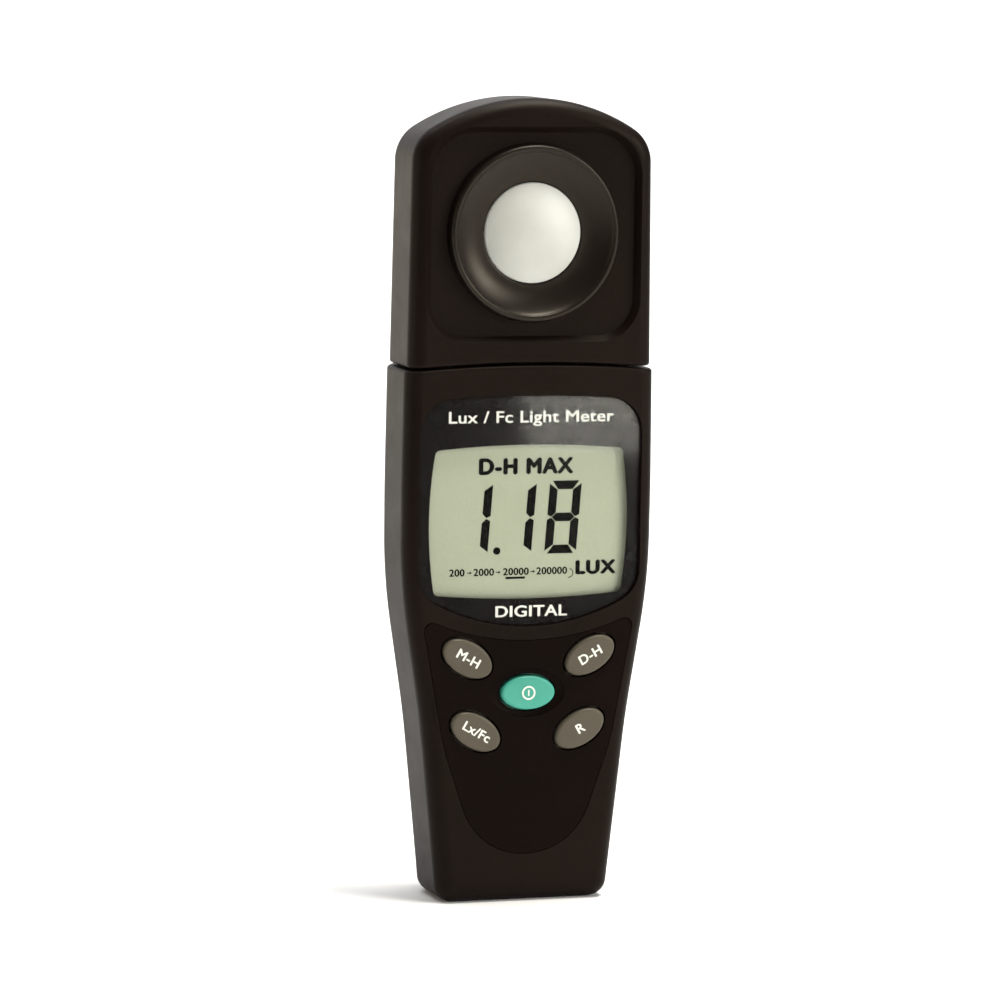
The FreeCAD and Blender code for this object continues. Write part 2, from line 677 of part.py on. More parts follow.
def make_grip(parts):
    solid = grip_outside()
    cavity_raw = housing_block("grip_hollow_raw", grip_outline("wall", "-30", "170"),
                               "front_face + face_wall", "back_face - back_wall")
    cavity = overlap("grip_hollow", cavity_raw,
                     block("grip_hollow_slab", ACROSS, ACROSS, ("wall", "body_ceiling")))
    bush_hole = rod("bush_hole", "z", "bush_radius + 0.05", "0", "0", "body_ceiling - 2", "8")

    key_holes = [oval(f"{key}_hole", "key_half_length + key_clearance", "key_half_height + key_clearance",
                      x, z, calc(tilt), "front_face - 3", "front_face + 5")
                 for key, (x, z, tilt) in KEYS.items()]
    recess = window_shape("window_recess_cut", "0", "front_face - 1", "front_face + window_recess")
    view = view_opening("view_cut", "0.6", "front_face - 1", "front_face + 5")
    shield = fascia_shape("fascia_recess_cut", "0", "front_face - 1", "front_face + fascia_depth + 0.05")
    case_bosses = rods_at("case_boss", CASE_SCREWS, "boss_radius", "front_face + face_wall - 0.2",
                          "parting - 0.1")
    board_bosses = rods_at("board_boss", BOARD_SCREWS, "board_head_radius + 0.1",
                           "front_face + face_wall - 0.2", "board_front - 0.05")
    case_bores = rods_at("case_bore", CASE_SCREWS, "case_screw_radius + 0.05", "-6", "parting + 1")
    board_bores = rods_at("board_bore", BOARD_SCREWS, "board_screw_radius + 0.05", "-10.6", "-6")
    parts["front_shell"] = shell_half("front_shell", solid, True, cavity,
                                      [recess, view, shield, bush_hole, *key_holes],
                                      case_bosses + board_bosses, case_bores + board_bores)

    opening = block("door_opening", ("-door_half_width", "door_half_width"),
                    ("back_face - back_wall - 1", "back_face + 5"), ("door_bottom", "door_top"))
    columns = rods_at("case_column", CASE_SCREWS, "boss_radius", "parting + 0.05", COLUMN_END)
    clearances = rods_at("case_clearance", CASE_SCREWS, "case_screw_radius + 0.25", "0", "20")
    sinks = rods_at("case_sink", CASE_SCREWS, "case_head_radius + 0.25", "screw_seat", "20")
    hinge_y = "back_face - door_thickness / 2"
    hinge_z = "door_bottom + door_gap + door_thickness / 2"
    socket_end = "(door_half_width + hinge_pin_length)"
    sockets = rod("hinge_sockets", "x", "hinge_pin_radius + running_gap", f"-{socket_end}", hinge_y, hinge_z,
                  f"2 * {socket_end}")
    parts["rear_shell"] = shell_half("rear_shell", solid, False, cavity, [opening, bush_hole, sockets],
                                     columns, clearances + sinks)

    half = "door_half_width - door_gap"
    door_block = block("door_block", (f"-({half})", half), ("back_face - door_thickness", "back_face + 5"),
                       (hinge_z, "door_top - door_gap"))
    barrel = rod("door_barrel", "x", "door_thickness / 2", f"-({half})", hinge_y, hinge_z, f"2 * ({half})")
    pins = rod("door_pins", "x", "hinge_pin_radius", f"-({half}) - hinge_pin_length", hinge_y, hinge_z,
               f"2 * ({half} + hinge_pin_length)")
    grooves = []
    for i in range(5):
        groove_low = f"door_top - 6 - {i} * groove_pitch"
        grooves.append(block(f"door_groove_{i}", ("-groove_half_width", "groove_half_width"),
                             ("back_face - groove_depth", "back_face + 1"),
                             (groove_low, f"{groove_low} + groove_width")))
    door_plate = join("door_body", overlap("door_plate", solid, door_block), barrel, pins)
    parts["battery_door"] = cut("battery_door", door_plate, *grooves)

    panel = fascia_shape("fascia_panel", "fascia_gap", "front_face", "front_face + fascia_depth")
    dish = doc.addObject("Part::Ellipsoid", "power_dish")
    bind(dish, Radius1="dish_half_height", Radius2="dish_half_length", Radius3="dish_depth")
    dish.Angle1 = -90
    dish.Angle2 = 90
    dish.Angle3 = 360
    place(dish, "0", "front_face", "power_key_z")
    panel_holes = [oval(f"{key}_panel_hole", "key_half_length + key_clearance",
                        "key_half_height + key_clearance", x, z, calc(tilt), "front_face - 3",
                        "front_face + 5")
                   for key, (x, z, tilt) in KEYS.items()]
    parts["key_fascia"] = cut("key_fascia", panel, dish, *panel_holes)

    glass_front = "front_face + window_inset"
    glass_back = "front_face + window_inset + window_thickness"
    pane = window_shape("window_pane", "window_gap", glass_front, glass_back)
    parts["display_window"] = bevelled("display_window", pane, "window_bevel", in_plane_y(glass_front))
    mask_sheet = window_shape("mask_sheet", "window_gap + 0.1", f"{glass_back} + 0.01",
                              "front_face + window_recess - 0.04")
    parts["window_mask"] = cut("window_mask", mask_sheet,
                               view_opening("mask_view", "0", "front_face", "front_face + 5"))


def make_keys(parts):
    for key, (x, z, tilt) in KEYS.items():
        proud = "power_key_proud" if key == "power_key" else "key_proud"
        cap = oval(f"{key}_cap", "key_half_length", "key_half_height", x, z, calc(tilt),
                   f"front_face - {proud}", "front_face + face_wall + key_flange_gap + 0.1")
        soft_cap = rounded(f"{key}_soft", cap, "key_edge_round", in_plane_y(f"front_face - {proud}"))
        flange = oval(f"{key}_flange", "key_half_length + key_clearance + key_flange",
                      "key_half_height + key_clearance + key_flange", x, z, calc(tilt),
                      "front_face + face_wall + key_flange_gap",
                      "front_face + face_wall + key_flange_gap + key_flange_thickness")
        stem = rod(f"{key}_stem", "y", "key_stem_radius", x, "front_face + face_wall + 0.5", z,
                   "board_front - key_stem_gap - key_travel - front_face - face_wall - 0.5")
        parts[key] = join(key, soft_cap, flange, stem)


def make_electronics(parts):
    half = "lcd_half_width + lcd_fit"
    frame_outer = block("frame_outer", (f"-({half}) - lcd_frame_rim", f"{half} + lcd_frame_rim"),
                        ("lcd_front - 0.1", "board_front - 0.1"),
                        ("lcd_bottom - lcd_fit - lcd_frame_rim", "lcd_top + lcd_fit + lcd_frame_rim"))
    frame_inner = block("frame_inner", (f"-({half})", half), ("lcd_front - 1", "board_front + 1"),
                        ("lcd_bottom - lcd_fit", "lcd_top + lcd_fit"))
    parts["lcd_frame"] = cut("lcd_frame", frame_outer, frame_inner)
    parts["lcd_panel"] = block("lcd_panel", ("-lcd_half_width", "lcd_half_width"),
                               ("lcd_front", "lcd_front + lcd_thickness"), ("lcd_bottom", "lcd_top"))
    strips = [block(f"zebra_{end}", ("-lcd_half_width + 2", "lcd_half_width - 2"),
                    ("lcd_front + lcd_thickness + 0.03", "board_front - 0.03"), span)
              for end, span in (("low", ("lcd_bottom + 0.7", "lcd_bottom + 2.7")),
                                ("high", ("lcd_top - 2.7", "lcd_top - 0.7")))]
    parts["zebra_strips"] = join("zebra_strips", *strips)

    outline = [("board_bottom_half_width", "board_bottom"), ("board_waist_half_width", "board_low_screw_z"),
               ("board_half_width", "board_shoulder"), ("board_half_width", "board_top")]
    corners = outline + [(f"-({x})", z) for x, z in reversed(outline)]
    board = plate("board_blank", corners, "board_front", "board_front + board_thickness")
    parts["main_board"] = cut("main_board", board,
                              *rods_at("board_hole", BOARD_SCREWS, "board_screw_radius + 0.15", "-12", "0"))
    behind = "board_front + board_thickness + solder_gap"
    parts["measuring_chip"] = block("measuring_chip", ("chip_left", "chip_right"),
                                    (behind, f"{behind} + chip_thickness"), ("chip_bottom", "chip_top"))
    small = []
    for column in range(3):
        x = f"component_x + {column} * component_pitch_x"
        for line in range(4):
            z = f"component_z + {line} * component_pitch_z"
            small.append(block(f"component_{column}_{line}", (x, f"{x} + component_width"),
                               (behind, f"{behind} + 1 + 0.5 * {column}"), (z, f"{z} + component_length")))
    cans = [rod(f"capacitor_{i}", "y", "capacitor_radius", f"capacitor_x + {i} * capacitor_pitch", behind,
                "capacitor_z", "capacitor_length") for i in range(2)]
    parts["board_components"] = join("board_components", *small, *cans)
    pots = []
    pot_slots = []
    for i in range(3):
        x = f"pot_x + {i} * pot_pitch"
        pots.append(block(f"pot_{i}", (x, f"{x} + pot_size"), (behind, f"{behind} + pot_thickness"),
                          ("pot_z", "pot_z + pot_size")))
        pot_slots.append(block(f"pot_slot_{i}",
                               (f"{x} + (pot_size - pot_slot_length) / 2",
                                f"{x} + (pot_size + pot_slot_length) / 2"),
                               (f"{behind} + 0.75 * pot_thickness", f"{behind} + 2 * pot_thickness"),
                               ("pot_z + (pot_size - pot_slot_width) / 2",
                                "pot_z + (pot_size + pot_slot_width) / 2")))
    parts["trim_pots"] = cut("trim_pots", join("pot_bodies", *pots), *pot_slots)
    parts["sensor_socket"] = block("sensor_socket", ("-socket_half_width", "socket_half_width"),
                                   (behind, "socket_back"), ("socket_bottom", "socket_top"))

    pad_blank = block("sheet_blank", ("-sheet_half_width", "sheet_half_width"),
                      ("board_front - sheet_thickness - 0.03", "board_front - 0.03"),
                      ("sheet_bottom", "sheet_top"))
    spots = [(x, z) for x, z, _ in KEYS.values()]
    parts["keypad_sheet"] = cut("keypad_sheet", pad_blank,
                                *rods_at("sheet_hole", spots, "dome_radius + 0.4", "-12", "0"))
    domes = rods_at("snap_dome", spots, "dome_radius", "board_front - dome_height - 0.03", "board_front - 0.03")
    parts["snap_domes"] = join("snap_domes", *domes)
    parts["board_screws"] = screw_set("board_screws", BOARD_SCREWS, behind, "board_head_radius",
                                      "board_head_height", "board_screw_radius", "-10.4")


def lead(name, points, radius):
    """Round wire along straight runs joined by one tangent arc."""
    start, corner, end = [V(*[calc(value) for value in point]) for point in points]
    thickness = calc(radius)
    back = (start - corner).normalize()
    ahead = (end - corner).normalize()
    bend = min((start - corner).Length, (end - corner).Length) * 0.6
    enter = corner + back * bend
    leave = corner + ahead * bend
    centre = enter + ahead * bend
    middle = centre + (corner - centre).normalize() * bend
    spine = Part.Wire([Part.LineSegment(start, enter).toShape(), Part.Arc(enter, middle, leave).toShape(),
                       Part.LineSegment(leave, end).toShape()])
    circle = Part.Wire([Part.Circle(start, back, thickness).toShape()])
    wire = doc.addObject("Part::Feature", name)
    wire.Shape = spine.makePipeShell([circle], True, True)
    return wire


def make_power(parts):
    width = ("-battery_half_width", "battery_half_width")
    can = block("battery_can", width, ("battery_front", "battery_front + battery_depth"),
                ("battery_bottom", "battery_bottom + battery_height"))
    studs = [rod(f"battery_stud_{i}", "z", "stud_radius", x, "battery_front + battery_depth / 2",
                 "battery_bottom + battery_height - 0.01", "stud_height")
             for i, x in enumerate(("-stud_offset", "stud_offset"))]
    doc.recompute()
    soft_can = rounded("battery_soft", can, "battery_edge_round", lambda edge: edge.BoundBox.ZLength > 10)
    parts["battery"] = join("battery", soft_can, *studs)
    snap_low = "battery_bottom + battery_height + stud_height + 0.3"
    snap_top = f"{snap_low} + snap_thickness"
    snap = block("snap_blank", ("-snap_half_width", "snap_half_width"), ("snap_front", "snap_back"),
                 (snap_low, snap_top))
    parts["battery_snap"] = rounded("battery_snap", snap, "2", lambda edge: edge.BoundBox.ZLength > 1
                                    and edge.BoundBox.XLength < 0.1 and edge.BoundBox.YLength < 0.1)
    behind = "board_front + board_thickness + 0.1"
    for label, x in (("battery_lead_red", "lead_x"), ("battery_lead_black", "-lead_x")):
        height = f"{snap_low} + lead_rise"
        parts[label] = lead(label, [(x, "4", f"{snap_top} + 0.05"), (x, "4", height), (x, behind, height)],
                            "lead_radius")
    parts["battery_pad"] = block("battery_pad", ("-10", "10"),
                                 ("battery_front - 0.6", "battery_front - 0.05"), ("16", "46"))
    parts["case_screws"] = screw_set("case_screws", CASE_SCREWS, "screw_seat + 0.03", "case_head_radius",
                                     "case_head_height", "case_screw_radius", "-5")


# ---------------------------------------------------------------- swivel
def make_swivel(parts):
    flange_top = "head_floor + 0.05 + spigot_flange"
    ring_low = "body_ceiling - 0.1 - bush_flange - 0.1 - washer_thickness - 0.1 - ring_thickness"
    parts["swivel_bush"] = turned_z("swivel_bush", [
        ("spigot_radius + running_gap", "body_ceiling - 0.1 - bush_flange"),
        ("bush_flange_radius", "body_ceiling - 0.1 - bush_flange"),
        ("bush_flange_radius", "body_ceiling - 0.1"),
        ("bush_radius", "body_ceiling - 0.1"),
        ("bush_radius", "crown_top - 0.4"),
        ("spigot_radius + running_gap", "crown_top - 0.4"),
    ])
    parts["swivel_spigot"] = turned_z("swivel_spigot", [
        ("spigot_bore", "spigot_bottom"),
        ("spigot_radius", "spigot_bottom"),
        ("spigot_radius", f"{ring_low} - 0.05"),
        ("ring_groove_radius", f"{ring_low} - 0.05"),
        ("ring_groove_radius", f"{ring_low} + ring_thickness + 0.05"),
        ("spigot_radius", f"{ring_low} + ring_thickness + 0.05"),
        ("spigot_radius", "head_floor + 0.05"),
        ("spigot_flange_radius", "head_floor + 0.05"),
        ("spigot_flange_radius", flange_top),
        ("spigot_bore", flange_top),
    ])
    parts["retaining_ring"] = turned_z("retaining_ring", [
        ("ring_groove_radius + 0.05", ring_low),
        ("ring_radius", ring_low),
        ("ring_radius", f"{ring_low} + ring_thickness"),
        ("ring_groove_radius + 0.05", f"{ring_low} + ring_thickness"),
    ])
    washer_low = f"{ring_low} + ring_thickness + 0.1"
    parts["friction_washer"] = turned_z("friction_washer", [
        ("spigot_radius + 0.3", washer_low),
        ("ring_radius + 1.2", washer_low),
        ("ring_radius + 1.2", f"{washer_low} + washer_thickness"),
        ("spigot_radius + 0.3", f"{washer_low} + washer_thickness"),
    ])
    parts["sensor_cable"] = rod("sensor_cable", "z", "cable_radius", "0", "0", "109.6", "40")


# ---------------------------------------------------------------- sensor head
def make_head(parts):
    solid = head_solid_outside()
    hollow_raw = head_outside("head_hollow_raw", "wall", "head_inner_front", "back_face - back_wall")
    hollow = overlap("head_hollow", hollow_raw,
                     block("head_hollow_slab", ACROSS, ACROSS, ("head_floor", "210")))
    neck_hole = rod("neck_hole", "z", "spigot_radius + 0.1", "0", "0", "crown_top - 2", "10")

    rim = new_body("recess_cut")
    rim_sketch = sketch_on(rim, "XZ_Plane", "-(front_face - 0.3)")
    draw_rounded(rim_sketch, mirrored([
        ("recess_half_width", "recess_bottom", "recess_round"),
        ("recess_half_width", "recess_top", "recess_round + 1.5"),
    ]))
    pad(rim, rim_sketch, "recess_depth + 0.3", "-recess_slope")
    collar_hole = rod("collar_hole", "y", "bezel_barrel_radius + 0.1", "0", "front_face - 2", "sensor_z",
                      "10")

    bosses = rods_at("head_boss", HEAD_SCREWS, "boss_radius", "head_inner_front - 0.3", "parting - 0.1")
    bores = rods_at("head_bore", HEAD_SCREWS, "case_screw_radius + 0.05", "-6", "parting + 1")
    posts = rods_at("sensor_post", SENSOR_SCREWS, "board_head_radius", "head_inner_front - 0.3",
                    "sensor_board_front - 0.05")
    post_bores = rods_at("sensor_bore", SENSOR_SCREWS, "board_screw_radius + 0.05", "-9", "0")
    parts["head_front_shell"] = shell_half("head_front_shell", solid, True, hollow,
                                           [rim, collar_hole, neck_hole], bosses + posts, bores + post_bores)
    columns = rods_at("head_column", HEAD_SCREWS, "boss_radius", "parting + 0.05", COLUMN_END)
    clearances = rods_at("head_clearance", HEAD_SCREWS, "case_screw_radius + 0.25", "0", "20")
    sinks = rods_at("head_sink", HEAD_SCREWS, "case_head_radius + 0.25", "screw_seat", "20")
    parts["head_rear_shell"] = shell_half("head_rear_shell", solid, False, hollow, [neck_hole],
                                          columns, clearances + sinks)
    parts["head_screws"] = screw_set("head_screws", HEAD_SCREWS, "screw_seat + 0.03", "case_head_radius",
                                     "case_head_height", "case_screw_radius", "-5")

    floor = "front_face + recess_depth - 0.04"
    parts["sensor_bezel"] = turned_y("sensor_bezel", [
        ("bezel_base_radius", floor),
        ("bezel_barrel_radius", floor),
        ("bezel_barrel_radius", "bezel_back"),
        ("dome_flange_radius + 0.1", "bezel_back"),
        ("dome_flange_radius + 0.1", "bezel_back - dome_flange - 0.05"),
        ("bowl_radius", "bezel_back - dome_flange - 0.05"),
        ("bowl_radius", "bowl_depth"),
        ("bowl_radius + 3.8", "bowl_depth - 0.6"),
        ("bezel_crest_radius - 1.5", "bezel_crest + 1.0"),
        ("bezel_crest_radius - 0.4", "bezel_crest + 0.1"),
        ("bezel_crest_radius", "bezel_crest"),
        ("bezel_crest_radius + 0.4", "bezel_crest + 0.1"),
        ("bezel_base_radius - 0.3", "bezel_crest + 1.0"),
    ], "sensor_z")

    cap_radius = "(dome_view_radius ^ 2 + dome_rise ^ 2) / (2 * dome_rise)"

    def cap(name, shrink):
        sphere = doc.addObject("Part::Sphere", name + "_sphere")
        bind(sphere, Radius=f"{cap_radius} - ({shrink})")
        place(sphere, "0", f"dome_apex + {cap_radius}", "sensor_z")
        barrel = rod(name + "_barrel", "y", f"dome_view_radius - ({shrink})", "0", "dome_apex - 1",
                     "sensor_z", "bezel_back - dome_apex + 1")
        return overlap(name, sphere, barrel)

    flange = rod("dome_flange_disc", "y", "dome_flange_radius", "0", "bezel_back - dome_flange", "sensor_z",
                 "dome_flange")
    parts["diffuser_dome"] = cut("diffuser_dome", join("dome_outside", cap("dome_cap", "0"), flange),
                                 cap("dome_inside", "dome_wall"))
    holder_front = "bezel_back + 0.1"
    bore_depth = "filter_thickness + 0.1"
    parts["sensor_holder"] = cut(
        "sensor_holder",
        rod("holder_cup", "y", "holder_radius", "0", holder_front, "sensor_z",
            f"holder_back - ({holder_front})"),
        rod("filter_bore", "y", "filter_radius + 0.05", "0", f"{holder_front} - 1", "sensor_z",
            f"{bore_depth} + 1"),
        block("diode_pocket", ("-diode_half_width - 0.05", "diode_half_width + 0.05"), (holder_front, "0"),
              ("sensor_z - diode_half_width - 0.05", "sensor_z + diode_half_width + 0.05")))
    parts["colour_filter"] = rod("colour_filter", "y", "filter_radius", "0", f"{holder_front} + 0.05",
                                 "sensor_z", "filter_thickness - 0.05")
    parts["photodiode"] = block("photodiode", ("-diode_half_width", "diode_half_width"),
                                (f"{holder_front} + filter_thickness + 0.05",
                                 f"{holder_front} + filter_thickness + 0.05 + diode_thickness"),
                                ("sensor_z - diode_half_width", "sensor_z + diode_half_width"))
    board = block("sensor_board_blank", ("-sensor_board_half", "sensor_board_half"),
                  ("sensor_board_front", "sensor_board_front + sensor_board_thickness"),
                  ("sensor_z - sensor_board_half", "sensor_z + sensor_board_half"))
    parts["sensor_board"] = cut("sensor_board", board,
                                *rods_at("sensor_hole", SENSOR_SCREWS, "board_screw_radius + 0.15",
                                         "-9", "0"))
    behind = "sensor_board_front + sensor_board_thickness + 0.02"
    parts["sensor_screws"] = screw_set("sensor_screws", SENSOR_SCREWS, behind, "board_head_radius",
                                       "board_head_height", "board_screw_radius", "-8.6")
    parts["sensor_plug"] = block("sensor_plug", ("-4", "4"), (behind, "2"), ("150", "155"))


def write_parts(parts):
    """Check every object, then write one file per sub-part."""
    doc.recompute()
    for obj in doc.Objects:
        if "Invalid" in obj.State or "Error" in obj.State:
            raise RuntimeError(f"{obj.Name} failed: {obj.State}")
    for label, obj in parts.items():
        obj.Label = label
        if obj.Shape.isNull() or not obj.Shape.isValid():
            raise RuntimeError(f"{label} has no valid shape")
    os.makedirs("parts", exist_ok=True)
    for label, obj in parts.items():
        obj.Shape.exportStep(f"parts/{label}.step")


parts = {}
make_grip(parts)
make_keys(parts)
make_electronics(parts)
make_power(parts)
make_swivel(parts)
make_head(parts)
write_parts(parts)
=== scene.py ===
import math

import bmesh
import bpy
from mathutils import Matrix, Vector


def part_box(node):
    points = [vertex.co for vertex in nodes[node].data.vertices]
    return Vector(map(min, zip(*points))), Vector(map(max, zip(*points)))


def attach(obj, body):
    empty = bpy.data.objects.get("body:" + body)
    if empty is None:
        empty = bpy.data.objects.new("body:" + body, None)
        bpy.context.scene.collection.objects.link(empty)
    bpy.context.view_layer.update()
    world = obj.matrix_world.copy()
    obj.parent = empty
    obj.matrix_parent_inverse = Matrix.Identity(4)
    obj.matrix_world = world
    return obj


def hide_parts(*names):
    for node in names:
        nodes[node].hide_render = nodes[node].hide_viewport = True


# Looks of the handheld light meter: materials, printed graphics, display segments,
# the sensor collar and dome, the camera and the studio. Metres, in the frame's own axes.

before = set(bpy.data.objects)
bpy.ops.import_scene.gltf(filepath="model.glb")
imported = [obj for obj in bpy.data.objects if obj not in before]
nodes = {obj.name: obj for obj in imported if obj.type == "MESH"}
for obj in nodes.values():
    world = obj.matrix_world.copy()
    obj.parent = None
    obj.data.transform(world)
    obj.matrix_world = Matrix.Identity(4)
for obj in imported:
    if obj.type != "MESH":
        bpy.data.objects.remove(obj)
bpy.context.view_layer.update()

MM = 0.001
MIX_FACTOR, MIX_A, MIX_B, MIX_RESULT = 0, 6, 7, 2       # a Mix node's sockets for colours
scene = bpy.context.scene


# ---------------------------------------------------------------- shader helpers
class Shader:
    """A node tree with short calls for the nodes used here."""

    def __init__(self, name):
        self.material = bpy.data.materials.new(name)
        self.material.use_nodes = True
        self.tree = self.material.node_tree
        self.surface = self.tree.nodes["Principled BSDF"]
        self.output = self.tree.nodes["Material Output"]
        self.place = self.tree.nodes.new("ShaderNodeTexCoord").outputs["Object"]

    def feed(self, socket, value):
        """Links value to socket if it is another node's output, or else writes it there."""
        if isinstance(value, bpy.types.NodeSocket):
            self.tree.links.new(value, socket)
        else:
            socket.default_value = value

    def node(self, kind, **inputs):
        made = self.tree.nodes.new(kind)
        for key, value in inputs.items():
            self.feed(made.inputs[key.replace("_", " ")], value)
        return made

    def noise(self, scale, detail=3.0, roughness=0.55, distortion=0.0):
        return self.node("ShaderNodeTexNoise", Vector=self.place, Scale=scale, Detail=detail,
                         Roughness=roughness, Distortion=distortion).outputs["Fac"]

    def cells(self, scale):
        return self.node("ShaderNodeTexVoronoi", Vector=self.place, Scale=scale).outputs["Distance"]

    def ramp(self, factor, stops):
        made = self.node("ShaderNodeValToRGB", Fac=factor)
        points = made.color_ramp.elements
        while len(points) < len(stops):
            points.new(0.5)
        for point, (position, color) in zip(points, stops):
            point.position = position
            point.color = (*color, 1.0)
        return made.outputs["Color"]

    def blend(self, factor, a, b):
        made = self.tree.nodes.new("ShaderNodeMix")
        made.data_type = "RGBA"
        for index, value in ((MIX_FACTOR, factor), (MIX_A, a), (MIX_B, b)):
            self.feed(made.inputs[index], value)
        return made.outputs[MIX_RESULT]

    def spread(self, value, low, high):
        return self.node("ShaderNodeMapRange", Value=value, To_Min=low, To_Max=high).outputs["Result"]

    def bump(self, height, strength, distance, normal=None):
        made = self.node("ShaderNodeBump", Height=height, Strength=strength, Distance=distance)
        if normal is not None:
            self.tree.links.new(normal, made.inputs["Normal"])
        return made.outputs["Normal"]

    def set(self, **inputs):
        """Settings of the Principled surface; gives back the finished material."""
        for key, value in inputs.items():
            self.feed(self.surface.inputs[key.replace("_", " ")], value)
        return self.material


def rgb(red, green, blue):
    """Linear colour from the 0 to 255 values seen on screen, by the sRGB curve."""
    return tuple(((value / 255 + 0.055) / 1.055) ** 2.4 if value > 10 else value / 3295
                 for value in (red, green, blue))


def shade(color, gain):
    return tuple(min(1.0, channel * gain) for channel in color)


# ---------------------------------------------------------------- materials
WARM_GLOSS = (1.0, 0.9, 0.72, 1.0)      # tint of the moulded plastics' reflections
COATING = 0.045                         # share of its reflection that the coated window keeps


def moulded(name, color, roughness=0.5, grain=2600, grain_strength=0.35, depth=0.00004, shine=0.3):
    """Spark-eroded moulded plastic: fine grain, slow colour drift, rubbed patches and dust."""
    s = Shader(name)
    drift = s.noise(22, 4)
    rubbed = s.noise(95, 5, 0.6, 0.4)
    speck = s.noise(5200, 1)
    tone = s.ramp(drift, [(0.3, shade(color, 0.82)), (0.7, shade(color, 1.2))])
    tone = s.blend(s.ramp(speck, [(0.66, (0, 0, 0)), (0.78, (0.5, 0.5, 0.5))]), tone, (*shade(color, 1.9), 1))
    grain_height = s.noise(grain, 2, 0.7)
    pits = s.cells(grain * 0.8)
    fine = s.bump(pits, grain_strength * 0.6, depth)
    normal = s.bump(grain_height, grain_strength, depth, fine)
    rough = s.spread(rubbed, roughness - 0.07, roughness + 0.09)
    return s.set(Base_Color=tone, Roughness=rough, Normal=normal, Specular_IOR_Level=shine,
                 Specular_Tint=WARM_GLOSS)


def glossy_print():
    """Black gloss ink behind the window, with faint unevenness."""
    s = Shader("window_ink")
    drift = s.noise(60, 4)
    tone = s.ramp(drift, [(0.3, rgb(5, 2, 2)), (0.8, rgb(12, 6, 5))])
    return s.set(Base_Color=tone, Roughness=s.spread(s.noise(500), 0.18, 0.26), Specular_IOR_Level=0.05)


def clear_acrylic():
    """Clear moulded acrylic: light passes straight through, the surface reflects and is faintly marked."""
    s = Shader("clear_acrylic")
    scratches = s.noise(420, 6, 0.7, 1.6)
    normal = s.bump(s.noise(28, 2), 0.006, 0.0001)
    rough = s.ramp(scratches, [(0.45, (0.05, 0.05, 0.05)), (0.7, (0.07, 0.07, 0.07))])
    gloss = s.node("ShaderNodeBsdfGlossy", Color=(1, 1, 1, 1), Roughness=rough, Normal=normal)
    through = s.node("ShaderNodeBsdfTransparent", Color=(0.985, 0.99, 0.985, 1))
    edge = s.node("ShaderNodeFresnel", IOR=1.49, Normal=normal)
    coated = s.node("ShaderNodeMath", Value=edge.outputs[0])
    coated.operation = "MULTIPLY"
    coated.inputs[1].default_value = COATING
    mixed = s.node("ShaderNodeMixShader", Fac=coated.outputs[0])
    s.tree.links.new(through.outputs[0], mixed.inputs[1])
    s.tree.links.new(gloss.outputs[0], mixed.inputs[2])
    s.tree.links.new(mixed.outputs[0], s.output.inputs["Surface"])
    return s.material


def display_face():
    """Grey-green reflective display: pearly reflector over a faint cloudy tone."""
    s = Shader("display_face")
    pearl = s.noise(1500, 3, 0.7)
    cloud = s.noise(30, 3)
    tone = s.ramp(cloud, [(0.25, rgb(160, 165, 142)), (0.75, rgb(172, 176, 154))])
    tone = s.blend(0.3, tone, s.ramp(pearl, [(0.3, rgb(152, 157, 133)), (0.75, rgb(184, 188, 166))]))
    return s.set(Base_Color=tone, Roughness=s.spread(pearl, 0.32, 0.42), Specular_IOR_Level=0.35,
                 Normal=s.bump(pearl, 0.12, 0.00002))


def segment_ink():
    """Nearly black liquid-crystal segments."""
    s = Shader("segment_ink")
    tone = s.ramp(s.noise(800), [(0.3, rgb(9, 8, 7)), (0.8, rgb(17, 16, 14))])
    return s.set(Base_Color=tone, Roughness=s.spread(s.noise(1200), 0.35, 0.45), Specular_IOR_Level=0.03)


def printed_ink(name, color):
    """Pad-printed ink with slightly uneven coverage."""
    s = Shader(name)
    cover = s.noise(2600, 3, 0.6)
    tone = s.ramp(cover, [(0.25, shade(color, 0.86)), (0.7, color)])
    return s.set(Base_Color=tone, Roughness=s.spread(cover, 0.42, 0.55), Normal=s.bump(cover, 0.15, 0.00002))


def opal():
    """Translucent white diffuser with a soft glow under its surface."""
    s = Shader("opal_dome")
    cloud = s.noise(70, 4)
    fine = s.noise(2400, 3, 0.6)
    tone = s.ramp(cloud, [(0.3, rgb(194, 195, 186)), (0.75, rgb(206, 207, 201))])
    return s.set(Base_Color=tone, Roughness=s.spread(fine, 0.38, 0.5), Normal=s.bump(fine, 0.18, 0.00003),
                 Subsurface_Weight=0.55, Subsurface_Radius=(1.0, 0.95, 0.8), Subsurface_Scale=0.0035)


def circuit_board():
    """Green solder mask over weave, with copper traces as slightly raised lighter lines."""
    s = Shader("circuit_board")
    weave = s.noise(1700, 2)
    bricks = s.node("ShaderNodeTexBrick", Vector=s.place, Scale=210.0, Mortar_Size=0.09,
                    Color1=(*rgb(16, 84, 48), 1), Color2=(*rgb(22, 96, 54), 1), Mortar=(*rgb(38, 122, 70), 1))
    tone = s.blend(s.spread(weave, 0.0, 0.3), bricks.outputs["Color"], (*rgb(10, 60, 34), 1))
    return s.set(Base_Color=tone, Roughness=s.spread(weave, 0.25, 0.4),
                 Normal=s.bump(bricks.outputs["Fac"], 0.4, 0.00005))


def metal(name, color, roughness=0.28, streaks=900):
    """Plated or turned metal with fine streaks and dull spots."""
    s = Shader(name)
    streak = s.noise(streaks, 6, 0.7, 0.3)
    dull = s.noise(160, 4)
    tone = s.ramp(dull, [(0.3, shade(color, 0.8)), (0.75, color)])
    rough = s.spread(streak, roughness - 0.08, roughness + 0.14)
    return s.set(Base_Color=tone, Metallic=1.0, Roughness=rough, Normal=s.bump(streak, 0.12, 0.00003))


